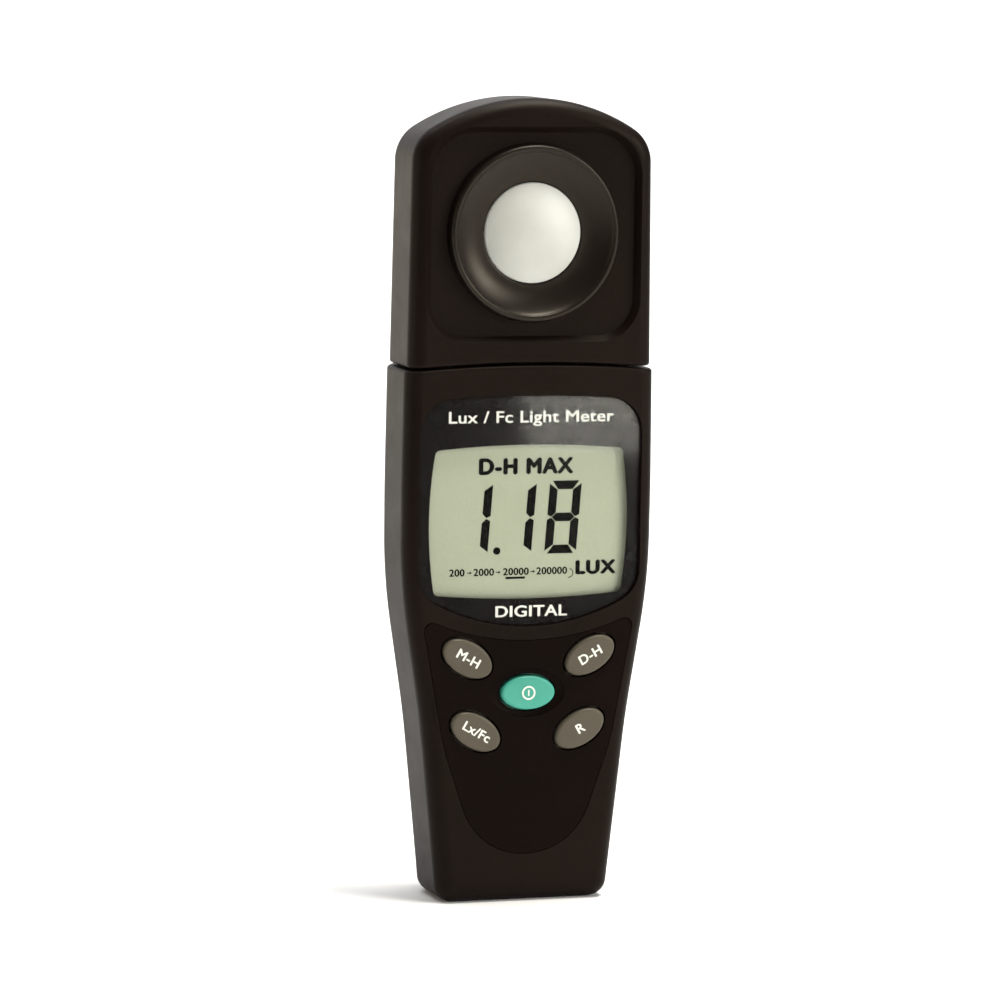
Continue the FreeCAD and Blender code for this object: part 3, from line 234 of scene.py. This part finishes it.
def coloured_glass():
    """Green photopic filter glass."""
    s = Shader("filter_glass")
    tone = s.ramp(s.noise(60), [(0.3, rgb(92, 150, 96)), (0.8, rgb(120, 178, 118))])
    return s.set(Base_Color=tone, Roughness=s.spread(s.noise(900), 0.03, 0.08), Transmission_Weight=0.6)


def jacket():
    """Printed battery jacket: dark sleeve with a copper band at the top."""
    s = Shader("battery_jacket")
    height = s.node("ShaderNodeSeparateXYZ", Vector=s.place).outputs["Z"]
    low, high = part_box("battery")
    level = s.node("ShaderNodeMapRange", Value=height, From_Min=low.z, From_Max=high.z).outputs["Result"]
    band = s.ramp(level, [(0.0, rgb(26, 26, 30)), (0.62, rgb(32, 32, 36)), (0.63, rgb(176, 112, 54)),
                          (0.93, rgb(190, 124, 62)), (0.94, rgb(96, 96, 98))])
    tone = s.blend(s.spread(s.noise(700), 0.0, 0.2), band, (0.02, 0.02, 0.02, 1))
    return s.set(Base_Color=tone, Roughness=s.spread(s.noise(240), 0.25, 0.36), Metallic=0.35)


housing = moulded("housing_plastic", rgb(20, 13, 11), 0.42, grain=2300, grain_strength=0.42, shine=0.07)
panel = moulded("panel_plastic", rgb(16, 9, 8), 0.44, grain=3000, grain_strength=0.3, shine=0.035)
collar = moulded("collar_plastic", rgb(19, 13, 11), 0.36, grain=3400, grain_strength=0.16, shine=0.27)
grey_key = moulded("grey_key_rubber", rgb(76, 71, 61), 0.42, grain=3200, grain_strength=0.25, shine=0.4)
green_key = moulded("green_key_rubber", rgb(68, 168, 148), 0.42, grain=3200, grain_strength=0.2, shine=0.4)
nylon = moulded("white_nylon", rgb(214, 211, 202), 0.45, grain=1800, grain_strength=0.15)
chip = moulded("chip_black", rgb(34, 33, 34), 0.42, grain=4200, grain_strength=0.3)
tan_part = moulded("component_tan", rgb(168, 134, 84), 0.4, grain=3000, grain_strength=0.2)
blue_part = moulded("pot_blue", rgb(48, 92, 168), 0.38, grain=3000, grain_strength=0.15)
zebra = moulded("zebra_rubber", rgb(70, 66, 68), 0.6, grain=5200, grain_strength=0.5)
silicone = moulded("keypad_silicone", rgb(148, 143, 134), 0.6, grain=2600, grain_strength=0.25)
foam = moulded("foam", rgb(62, 62, 64), 0.9, grain=1100, grain_strength=0.9, depth=0.0002)
red_wire = moulded("wire_red", rgb(196, 34, 30), 0.4, grain=2400, grain_strength=0.1)
black_wire = moulded("wire_black", rgb(30, 30, 32), 0.42, grain=2400, grain_strength=0.1)
grey_wire = moulded("cable_grey", rgb(98, 98, 100), 0.45, grain=2400, grain_strength=0.12)
ceramic = moulded("diode_case", rgb(88, 88, 104), 0.35, grain=4000, grain_strength=0.12)
steel = metal("plated_steel", rgb(178, 178, 176))
board_green = circuit_board()
ink_black = glossy_print()
white_ink = printed_ink("white_ink", rgb(240, 240, 230))
lcd_black = segment_ink()
lcd_face = display_face()
dome_white = opal()

MATERIAL_OF = {
    "front_shell": housing, "rear_shell": housing, "head_front_shell": housing, "head_rear_shell": housing,
    "battery_door": housing, "key_fascia": panel, "display_window": clear_acrylic(), "window_mask": ink_black,
    "lcd_panel": lcd_face, "lcd_frame": nylon, "zebra_strips": zebra, "main_board": board_green,
    "sensor_board": board_green, "measuring_chip": chip, "board_components": tan_part, "trim_pots": blue_part,
    "sensor_socket": nylon, "sensor_plug": nylon, "keypad_sheet": silicone, "snap_domes": steel,
    "max_key": grey_key, "hold_key": grey_key, "unit_key": grey_key, "range_key": grey_key,
    "power_key": green_key, "battery": jacket(), "battery_snap": chip, "battery_lead_red": red_wire,
    "battery_lead_black": black_wire, "battery_pad": foam, "case_screws": steel, "board_screws": steel,
    "head_screws": steel, "sensor_screws": steel, "swivel_bush": nylon, "swivel_spigot": nylon,
    "retaining_ring": steel, "friction_washer": steel, "sensor_cable": grey_wire, "diffuser_dome": dome_white,
    "sensor_holder": chip, "colour_filter": coloured_glass(), "photodiode": ceramic, "sensor_bezel": collar,
}
for node_name, node_material in MATERIAL_OF.items():
    cad = nodes[node_name]
    cad.data.materials.clear()
    cad.data.materials.append(node_material)


# ---------------------------------------------------------------- mesh helpers
TURN = 2 * math.pi
LATHE_STEPS = 160
ON_AXIS = 1e-9                  # a profile point this near the axis is a single vertex
PRINT_THICKNESS = 0.03 * MM
LAYER = 0.006 * MM              # keeps the shifted copies' faces apart
NUDGES = ((0, 0), (1, 0), (-1, 0), (0, 0.7), (0, -0.7))     # copies across and up, in weights


def box_centre(node_name):
    low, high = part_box(node_name)
    return (low + high) / 2


def finished_mesh(name, mesh_data):
    mesh = bpy.data.meshes.new(name)
    mesh_data.to_mesh(mesh)
    mesh_data.free()
    return mesh


def new_piece(name, mesh, material, body, smooth=True):
    piece = bpy.data.objects.new(name, mesh)
    scene.collection.objects.link(piece)
    mesh.materials.append(material)
    for face in mesh.polygons:
        face.use_smooth = smooth
    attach(piece, body)
    return piece


def lathe(name, profile, centre, material, body, closed=True):
    """Solid of revolution about the Y direction through centre; profile is (radius, y) in metres."""
    mesh_data = bmesh.new()
    rings = []
    for radius, y in profile:
        if radius < ON_AXIS:
            rings.append([mesh_data.verts.new((centre.x, y, centre.z))] * LATHE_STEPS)
            continue
        rings.append([mesh_data.verts.new((centre.x + radius * math.cos(TURN * i / LATHE_STEPS), y,
                                           centre.z + radius * math.sin(TURN * i / LATHE_STEPS)))
                      for i in range(LATHE_STEPS)])
    followers = rings[1:] + rings[:1] if closed else rings[1:]
    for inner, outer in zip(rings, followers):
        for i in range(LATHE_STEPS):
            j = (i + 1) % LATHE_STEPS
            corners = list(dict.fromkeys((inner[i], inner[j], outer[j], outer[i])))
            if len(corners) > 2:
                mesh_data.faces.new(corners)
    bmesh.ops.recalc_face_normals(mesh_data, faces=mesh_data.faces)
    return new_piece(name, finished_mesh(name, mesh_data), material, body)


def arc_points(centre, radius, start, end, steps):
    """Points on an arc in the (radius, y) plane, angles in degrees."""
    angles = [math.radians(start + (end - start) * i / steps) for i in range(steps + 1)]
    return [(centre[0] + radius * math.cos(a), centre[1] + radius * math.sin(a)) for a in angles]


def flat_print(name, outlines, y, material, body):
    """Thin raised print facing -Y: each outline is a list of (x, z) corners in metres."""
    mesh_data = bmesh.new()
    for outline in outlines:
        front = [mesh_data.verts.new((x, y - PRINT_THICKNESS, z)) for x, z in outline]
        back = [mesh_data.verts.new((x, y, z)) for x, z in outline]
        mesh_data.faces.new(front)
        mesh_data.faces.new(list(reversed(back)))
        for i in range(len(outline)):
            j = (i + 1) % len(outline)
            mesh_data.faces.new([front[i], back[i], back[j], front[j]])
    bmesh.ops.recalc_face_normals(mesh_data, faces=mesh_data.faces)
    return new_piece(name, finished_mesh(name, mesh_data), material, body, smooth=False)


def letter_mesh(name, text, size, weight):
    """The text as a mesh of height 1 in the XY plane."""
    curve = bpy.data.curves.new(name + "_text", "FONT")
    curve.body = text
    curve.align_x = "CENTER"
    curve.align_y = "CENTER"
    curve.space_character = 1 + 2 * weight
    curve.extrude = PRINT_THICKNESS / 2 / size
    curve.resolution_u = 6
    holder = bpy.data.objects.new(name + "_holder", curve)
    scene.collection.objects.link(holder)
    bpy.context.view_layer.update()
    evaluated = holder.evaluated_get(bpy.context.evaluated_depsgraph_get())
    thin = bpy.data.meshes.new_from_object(evaluated)
    bpy.data.objects.remove(holder)
    return thin


def lettering(name, text, x, y, z, size, material, body, tilt=0.0, weight=0.0, width=1.0):
    """Text as a thin mesh facing -Y, its middle at (x, z), thickened by shifted copies."""
    thin = letter_mesh(name, text, size, weight)
    strokes = bmesh.new()
    for level, (across, up) in enumerate(NUDGES):
        first = len(strokes.verts)
        strokes.from_mesh(thin)
        strokes.verts.ensure_lookup_table()
        shift = (across * weight, up * weight, level * LAYER / size)
        bmesh.ops.translate(strokes, verts=strokes.verts[first:], vec=shift)
    mesh = finished_mesh(name, strokes)
    turn = Matrix.Rotation(-math.radians(tilt), 4, "Y") @ Matrix.Rotation(math.radians(90), 4, "X")
    mesh.transform(Matrix.Translation((x, y, z)) @ turn @ Matrix.Diagonal((width * size, size, size, 1)))
    return new_piece(name, mesh, material, body, smooth=False)


# ---------------------------------------------------------------- sensor collar and dome
BOWL_RADIUS = 12.55 * MM        # inner edge of the collar's dished face
DOME_RADIUS = 12.4 * MM         # the part of the dome that shows inside the collar
DOME_RISE = 3.6 * MM
DOME_WALL = 1.2 * MM
FRONT = -90                     # an arc's angle towards -Y, in degrees


def dished_face(rim, floor_point, steps=24):
    """Points from rim to floor_point, each (radius, y): steep at the rim, flatter further in."""
    points = []
    for step in range(1, steps + 1):
        share = step / steps
        drop = math.sin(share * math.pi / 2) ** 0.8
        points.append((rim[0] + (floor_point[0] - rim[0]) * share,
                       rim[1] + (floor_point[1] - rim[1]) * drop))
    return points


def sensor_collar():
    """Barrel, rounded rim and dished face, turned as one ring."""
    low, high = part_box("sensor_bezel")
    outer = (high.x - low.x) / 2
    crest_y = low.y
    back_y = high.y
    shoulder_y = crest_y + 2.54 * MM
    bowl_y = crest_y + 3.0 * MM
    ledge_y = crest_y + 5.1 * MM
    barrel = outer - 3.7 * MM
    seat = BOWL_RADIUS + 1.9 * MM
    round_over = 0.85 * MM
    rim_centre = (outer - 1.25 * MM, crest_y + round_over)
    profile = [(barrel, back_y), (barrel, shoulder_y), (outer, shoulder_y),
               (outer - 0.1 * MM, shoulder_y - 0.5 * MM)]
    profile += arc_points(rim_centre, round_over, 0, -150, 20)
    profile += dished_face(profile[-1], (BOWL_RADIUS + 0.25 * MM, bowl_y))
    profile += [(BOWL_RADIUS, bowl_y + 0.3 * MM), (BOWL_RADIUS, ledge_y),
                (seat, ledge_y + 0.05 * MM), (seat, back_y)]
    ring = lathe("sensor_collar", profile, box_centre("sensor_bezel"), collar, "sensor_head")
    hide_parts("sensor_bezel")


def opal_cap():
    """Shallow spherical cap of even wall on a short skirt, with a flange behind it."""
    low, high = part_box("diffuser_dome")
    flange = (high.x - low.x) / 2
    flange_y = high.y - DOME_WALL
    cap_radius = (DOME_RADIUS ** 2 + DOME_RISE ** 2) / (2 * DOME_RISE)
    inner_radius = cap_radius - DOME_WALL
    cap_centre = (0.0, low.y + cap_radius)
    outer_edge = math.degrees(math.asin(DOME_RADIUS / cap_radius))
    inner_edge = math.degrees(math.asin((DOME_RADIUS - DOME_WALL) / inner_radius))
    profile = arc_points(cap_centre, cap_radius, FRONT, FRONT + outer_edge, 40)
    profile += [(DOME_RADIUS, flange_y), (flange, flange_y), (flange, high.y),
                (DOME_RADIUS - DOME_WALL, high.y)]
    profile += arc_points(cap_centre, inner_radius, FRONT + inner_edge, FRONT, 30)
    profile = [(max(radius, 0.0), y) for radius, y in profile]
    cap = lathe("opal_dome", profile, box_centre("sensor_bezel"), dome_white, "sensor_head", closed=False)
    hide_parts("diffuser_dome")


# ---------------------------------------------------------------- display graphics
SEGMENTS_OF = {"1": "bc", "8": "abcdefg"}
SEGMENT_RAISE = 0.02 * MM       # the segments' back lies this far in front of the panel
DIGIT_WIDTH = 8.35 * MM
DIGIT_HEIGHT = 18.2 * MM
DIGIT_FOOT = 86.9 * MM          # height of the digits' lower edge
STROKE = 2.15 * MM
SLANT = 0.072                   # lean to the right, per unit of height
POINT_X = -7.7 * MM
POINT_RADIUS = 0.95 * MM
RANGE_Z = 82.5 * MM             # middle of the row of ranges under the digits


def digit_outlines(character, x, z):
    """Seven-segment digit with its lower left corner at (x, z); segments taper at their ends."""
    width, height, stroke = DIGIT_WIDTH, DIGIT_HEIGHT, STROKE
    gap, cut_corner = 0.11 * MM, 0.6 * MM
    half = stroke / 2
    middle = height / 2

    def upright_top(side):
        """Upper upright on the right (side 1) or the left (side -1), mitred at the top, pointed below."""
        outer = width if side > 0 else 0.0
        return [(outer, height - cut_corner - gap), (outer - side * stroke, height - stroke - gap),
                (outer - side * stroke, middle + half + gap), (outer - side * half, middle + gap),
                (outer, middle + half * 0.5 + gap)]

    def flipped(outline):
        return [(px, height - pz) for px, pz in outline]

    top = [(cut_corner + gap, height), (width - cut_corner - gap, height),
           (width - stroke - gap, height - stroke), (stroke + gap, height - stroke)]
    bar = [(half + gap, middle), (stroke + gap, middle + half), (width - stroke - gap, middle + half),
           (width - half - gap, middle), (width - stroke - gap, middle - half),
           (stroke + gap, middle - half)]
    shapes = {
        "a": top,
        "b": upright_top(1),
        "c": flipped(upright_top(1)),
        "d": flipped(top),
        "e": flipped(upright_top(-1)),
        "f": upright_top(-1),
        "g": bar,
    }
    return [[(x + px + pz * SLANT, z + pz) for px, pz in shapes[key]] for key in SEGMENTS_OF[character]]


def display_digits(face):
    """The large reading, with its decimal point."""
    outlines = []
    for character, x in (("1", -18.5), ("1", -7.1), ("8", 4.7)):
        outlines += digit_outlines(character, x * MM, DIGIT_FOOT)
    point_z = DIGIT_FOOT + POINT_RADIUS
    outlines.append([(POINT_X + POINT_RADIUS * math.cos(a), point_z + POINT_RADIUS * math.sin(a))
                     for a in (TURN * i / 20 for i in range(20))])
    digits = flat_print("lcd_digits", outlines, face, lcd_black, "grip")


def display_words(face):
    """Annunciators above the digits, the unit to their right and the ranges below."""
    texts = [
        ("lcd_annunciators", "D-H MAX", -0.5 * MM, 108.7 * MM, 5.4 * MM, 0.06, 0.99),
        ("lcd_unit", "LUX", 18.2 * MM, 83.1 * MM, 4.7 * MM, 0.06, 1.1),
    ]
    for number, x in (("200", -18.0), ("2000", -11.0), ("20000", -2.6), ("200000", 6.8)):
        texts.append((f"lcd_range_{number}", number, x * MM, RANGE_Z, 2.5 * MM, 0.03, 1.03))
    for name, text, x, z, size, weight, width in texts:
        label = lettering(name, text, x, face, z, size, lcd_black, "grip", weight=weight, width=width)


def range_arrow(x):
    """Shaft and head of a small arrow to the right, about x."""
    back, neck, tip = x - 0.6 * MM, x + 0.1 * MM, x + 0.6 * MM
    shaft, head = 0.1 * MM, 0.4 * MM
    return [[(back, RANGE_Z + shaft), (back, RANGE_Z - shaft),
             (neck, RANGE_Z - shaft), (neck, RANGE_Z + shaft)],
            [(neck, RANGE_Z + head), (neck, RANGE_Z - head), (tip, RANGE_Z)]]


def range_underline():
    """Bar under the range in use."""
    left, right = -5.3 * MM, -0.2 * MM
    bottom, top = RANGE_Z - 1.75 * MM, RANGE_Z - 1.2 * MM
    return [(left, bottom), (right, bottom), (right, top), (left, top)]


def range_hook():
    """Short curved stroke after the last range, as a chain of four-cornered pieces."""
    radius, half_stroke = 1.1 * MM, 0.11 * MM
    centre_x, centre_z = 11.3 * MM, RANGE_Z - 0.6 * MM
    path = [(centre_x + radius * math.cos(a), centre_z + radius * math.sin(a))
            for a in (math.radians(degrees) for degrees in range(80, -120, -20))]
    pieces = []
    for (x_a, z_a), (x_b, z_b) in zip(path, path[1:]):
        across = Vector((z_b - z_a, x_a - x_b)).normalized() * half_stroke
        pieces.append([(x_a + across.x, z_a + across.y), (x_a - across.x, z_a - across.y),
                       (x_b - across.x, z_b - across.y), (x_b + across.x, z_b + across.y)])
    return pieces


def range_marks(face):
    """Arrows between the ranges, the bar under one and the hook after the last."""
    outlines = []
    for x in (-14.75, -7.25, 1.8):
        outlines += range_arrow(x * MM)
    outlines.append(range_underline())
    outlines += range_hook()
    marks = flat_print("lcd_arrows", outlines, face, lcd_black, "grip")


def display_graphics():
    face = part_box("lcd_panel")[0].y - SEGMENT_RAISE
    display_digits(face)
    display_words(face)
    range_marks(face)


# ---------------------------------------------------------------- printed labels
PRINT_RAISE = 0.05 * MM         # the window's print stands off its mask
PRINT_SUNK = 0.005 * MM         # a key's print starts this far inside the key
KEY_TILT = 30                   # lean of the outer keys' labels, in degrees


def window_titles():
    """The title above the display and the word at the window's foot."""
    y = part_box("window_mask")[0].y - PRINT_RAISE
    title = lettering("title_print", "Lux / Fc Light Meter", 0.2 * MM, y, 121.2 * MM, 4.1 * MM,
                      white_ink, "grip", weight=0.016, width=1.24)
    foot = lettering("foot_print", "DIGITAL", 0.9 * MM, y, 72.7 * MM, 3.9 * MM,
                     white_ink, "grip", weight=0.024, width=1.25)


def key_labels():
    """One short label on each grey key, leaning with the key."""
    labels = {"max_key": ("M-H", -KEY_TILT, 3.4), "hold_key": ("D-H", KEY_TILT, 3.4),
              "unit_key": ("Lx/Fc", -KEY_TILT, 3.3), "range_key": ("R", KEY_TILT, 3.4)}
    for key, (text, tilt, size) in labels.items():
        middle = box_centre(key)
        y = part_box(key)[0].y + PRINT_SUNK
        label = lettering(f"{key}_label", text, middle.x, y, middle.z, size * MM, white_ink, key,
                          tilt=tilt, weight=0.028, width=1.05)


def power_symbol():
    """Ring with a short upright bar in it, on the power key."""
    middle = box_centre("power_key")
    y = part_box("power_key")[0].y + PRINT_SUNK
    radius, stroke, steps = 1.75 * MM, 0.42 * MM, 64
    outlines = []
    for i in range(steps):
        a, b = TURN * i / steps, TURN * (i + 1) / steps
        outlines.append([(middle.x + r * math.cos(t), middle.z + r * math.sin(t))
                         for r, t in ((radius, a), (radius, b), (radius - stroke, b), (radius - stroke, a))])
    bar_half, bar_reach = 0.18 * MM, 0.75 * MM
    left, right = middle.x - bar_half, middle.x + bar_half
    bottom, top = middle.z - bar_reach, middle.z + bar_reach
    outlines.append([(left, bottom), (right, bottom), (right, top), (left, top)])
    symbol = flat_print("power_symbol", outlines, y, white_ink, "power_key")


# ---------------------------------------------------------------- camera
SENSOR_WIDTH = 36.0
VIEW_WIDTH = 250 * MM           # what the picture spans at the target
VIEW_DISTANCE = 1.3


def fitted_camera():
    """Long lens from the object's left and slightly above, with a slight roll."""
    azimuth, elevation, roll = math.radians(18.4), math.radians(6.5), math.radians(0.94)
    target = Vector((-3.3, 0.0, 99.2)) * MM
    view = Vector((math.sin(azimuth) * math.cos(elevation), math.cos(azimuth) * math.cos(elevation),
                   -math.sin(elevation)))
    level = Vector((math.cos(azimuth), -math.sin(azimuth), 0.0))
    upright = level.cross(view)
    across = level * math.cos(roll) + upright * math.sin(roll)
    above = upright * math.cos(roll) - level * math.sin(roll)
    data = bpy.data.cameras.new("camera")
    data.sensor_width = SENSOR_WIDTH
    data.lens = SENSOR_WIDTH * VIEW_DISTANCE / VIEW_WIDTH
    data.clip_start = 0.01
    data.dof.use_dof = False
    camera = bpy.data.objects.new("camera", data)
    scene.collection.objects.link(camera)
    place = target - view * VIEW_DISTANCE
    camera.matrix_world = Matrix(((across.x, above.x, -view.x, place.x),
                                  (across.y, above.y, -view.y, place.y),
                                  (across.z, above.z, -view.z, place.z),
                                  (0, 0, 0, 1)))
    scene.camera = camera


# ---------------------------------------------------------------- studio
def floor():
    """Pale floor that curves up into a backdrop behind the object."""
    half_width, front_y, top_z = 2.5, -3.0, 3.2
    bend_y, bend_radius, bend_steps = 1.2, 0.9, 15
    s = Shader("studio_floor")
    tone = s.ramp(s.noise(3, 4), [(0.3, (0.86, 0.86, 0.855)), (0.8, (0.9, 0.9, 0.895))])
    s.set(Base_Color=tone, Roughness=s.spread(s.noise(40), 0.75, 0.85), Specular_IOR_Level=0.2)
    path = [(front_y, 0.0), (bend_y, 0.0)]
    path += [(bend_y + bend_radius * math.sin(a), bend_radius - bend_radius * math.cos(a))
             for a in (math.radians(90 * i / bend_steps) for i in range(1, bend_steps + 1))]
    path.append((bend_y + bend_radius, top_z))
    mesh_data = bmesh.new()
    rows = [[mesh_data.verts.new((x, y, z)) for x in (-half_width, half_width)] for y, z in path]
    for low, high in zip(rows, rows[1:]):
        mesh_data.faces.new([low[0], low[1], high[1], high[0]])
    mesh = finished_mesh("studio_floor", mesh_data)
    mesh.materials.append(s.material)
    for face in mesh.polygons:
        face.use_smooth = True
    sweep = bpy.data.objects.new("studio_floor", mesh)
    scene.collection.objects.link(sweep)


def world_light(strength):
    world = bpy.data.worlds.new("studio_air")
    world.use_nodes = True
    background = world.node_tree.nodes["Background"]
    background.inputs["Color"].default_value = (0.98, 0.98, 1.0, 1.0)
    background.inputs["Strength"].default_value = strength
    scene.world = world


def softbox(name, place, aim, size, power, color=(1, 1, 1)):
    """Rectangular lamp, unseen by the camera; size is across and up in metres, power in watts."""
    data = bpy.data.lights.new(name, "AREA")
    data.shape = "RECTANGLE"
    data.size, data.size_y = size
    data.energy = power
    data.color = color
    lamp = bpy.data.objects.new(name, data)
    scene.collection.objects.link(lamp)
    lamp.location = place
    lamp.visible_camera = False
    lamp.rotation_euler = (Vector(aim) - Vector(place)).to_track_quat("-Z", "Y").to_euler()


def studio_lights():
    """Warm fill from the left and behind, a key lamp at the right, a top lamp and the backdrop's own."""
    body = (0, 0, 0.1)
    softbox("side_wall_card", place=(-0.42, 1.0, 0.02), aim=body, size=(0.75, 0.6), power=1.5,
            color=(1.0, 0.82, 0.52))
    softbox("left_light", place=(-1.1, 0.05, 0.3), aim=body, size=(0.7, 0.7), power=3,
            color=(1.0, 0.9, 0.72))
    softbox("key_light", place=(1.05, -0.93, 0.62), aim=(0, 0, 0.13), size=(0.55, 0.55), power=13,
            color=(1.0, 0.98, 0.94))
    softbox("top_light", place=(0.3, -0.14, 1.2), aim=(0, 0, 0.15), size=(0.6, 0.35), power=17,
            color=(1.0, 0.97, 0.9))
    softbox("backdrop_light", place=(0.0, 0.6, 1.9), aim=(0, 1.9, 0.5), size=(2.4, 0.8), power=60)
    softbox("window_glint", place=(0.291, -0.764, 0.047), aim=(0.02, 0, 0.123), size=(0.075, 0.034),
            power=0.3, color=(1.0, 0.97, 0.88))


# ---------------------------------------------------------------- the scene
sensor_collar()
opal_cap()
display_graphics()
window_titles()
key_labels()
power_symbol()
fitted_camera()
floor()
world_light(0.11)
studio_lights()
scene.view_settings.view_transform = "Standard"
